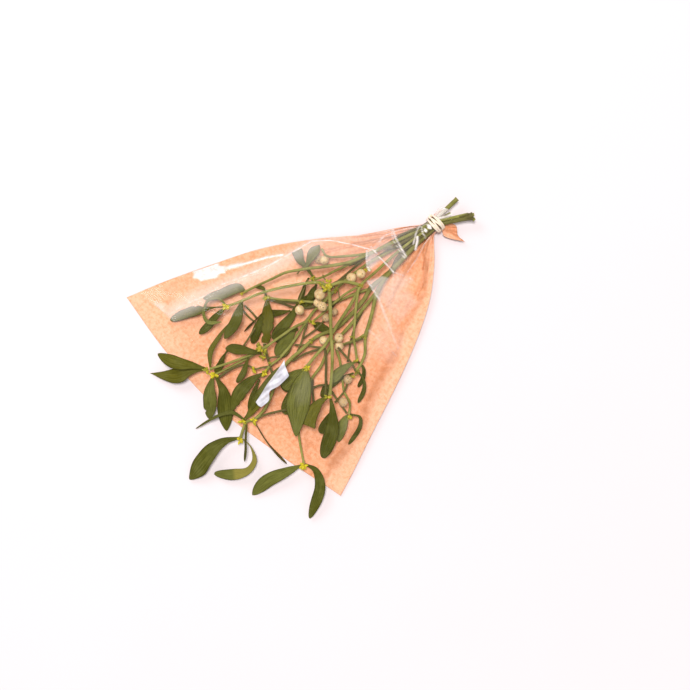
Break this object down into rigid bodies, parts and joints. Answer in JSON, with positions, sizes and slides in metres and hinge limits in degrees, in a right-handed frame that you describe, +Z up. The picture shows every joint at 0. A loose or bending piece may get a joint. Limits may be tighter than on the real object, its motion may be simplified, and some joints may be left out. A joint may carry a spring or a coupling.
{
  "type": "mistletoe bunch",
  "caption": "Cut mistletoe bunch with forked stems, paired leathery leaves and white berries, in a florist's sleeve of kraft paper and clear film tied with an elastic band.",
  "frame": {"origin": "on the table, below the middle of the outline of the whole bunch, which is the bottom centre of its box", "axes": "+Z up from the table, +Y along the bunch from its leafy mouth to its cut stem ends, +X across the sleeve, to the right when it is seen from above with the stem ends up"},
  "size_m": [0.268, 0.3571, 0.0408],
  "materials": {
    "stem": "olive green bark, satin",
    "leaf": "leathery olive green leaf, satin",
    "berry": "translucent creamy white berry with a soft sheen",
    "kraft_paper": "warm brown uncoated kraft paper with fine fibres",
    "clear_film": "clear glossy wrapping film, creased",
    "elastic_band": "cream natural rubber, satin"
  },
  "bodies": {
    "root": {"berry_01": "berry", "berry_02": "berry", "berry_03": "berry", "berry_04": "berry", "berry_05": "berry", "berry_06": "berry", "berry_07": "berry", "berry_08": "berry", "clear_film_front": "clear_film", "elastic_band": "elastic_band", "kraft_paper_back": "kraft_paper", "leaf_01": "leaf", "leaf_02": "leaf", "leaf_03": "leaf", "leaf_04": "leaf", "leaf_05": "leaf", "leaf_06": "leaf", "leaf_07": "leaf", "leaf_08": "leaf", "leaf_09": "leaf", "leaf_10": "leaf", "leaf_11": "leaf", "leaf_12": "leaf", "leaf_13": "leaf", "leaf_14": "leaf", "leaf_15": "leaf", "leaf_16": "leaf", "leaf_17": "leaf", "leaf_18": "leaf", "leaf_19": "leaf", "leaf_20": "leaf", "leaf_21": "leaf", "leaf_22": "leaf", "leaf_23": "leaf", "leaf_24": "leaf", "leaf_25": "leaf", "leaf_26": "leaf", "leaf_27": "leaf", "leaf_28": "leaf", "leaf_29": "leaf", "leaf_30": "leaf", "leaf_31": "leaf", "leaf_32": "leaf", "stem_left": "stem", "stem_low": "stem", "stem_middle": "stem", "stem_right": "stem", "twig_crossing_left": "stem", "twig_far_left": "stem", "twig_inner_left": "stem", "twig_long_middle": "stem", "twig_long_right": "stem", "twig_lower_left": "stem", "twig_lower_middle": "stem", "twig_lower_right": "stem", "twig_middle": "stem", "twig_short_middle": "stem", "twig_sweeping_left": "stem", "twig_sweeping_right": "stem", "twig_thin_middle": "stem"}
  },
  "joints": []
}
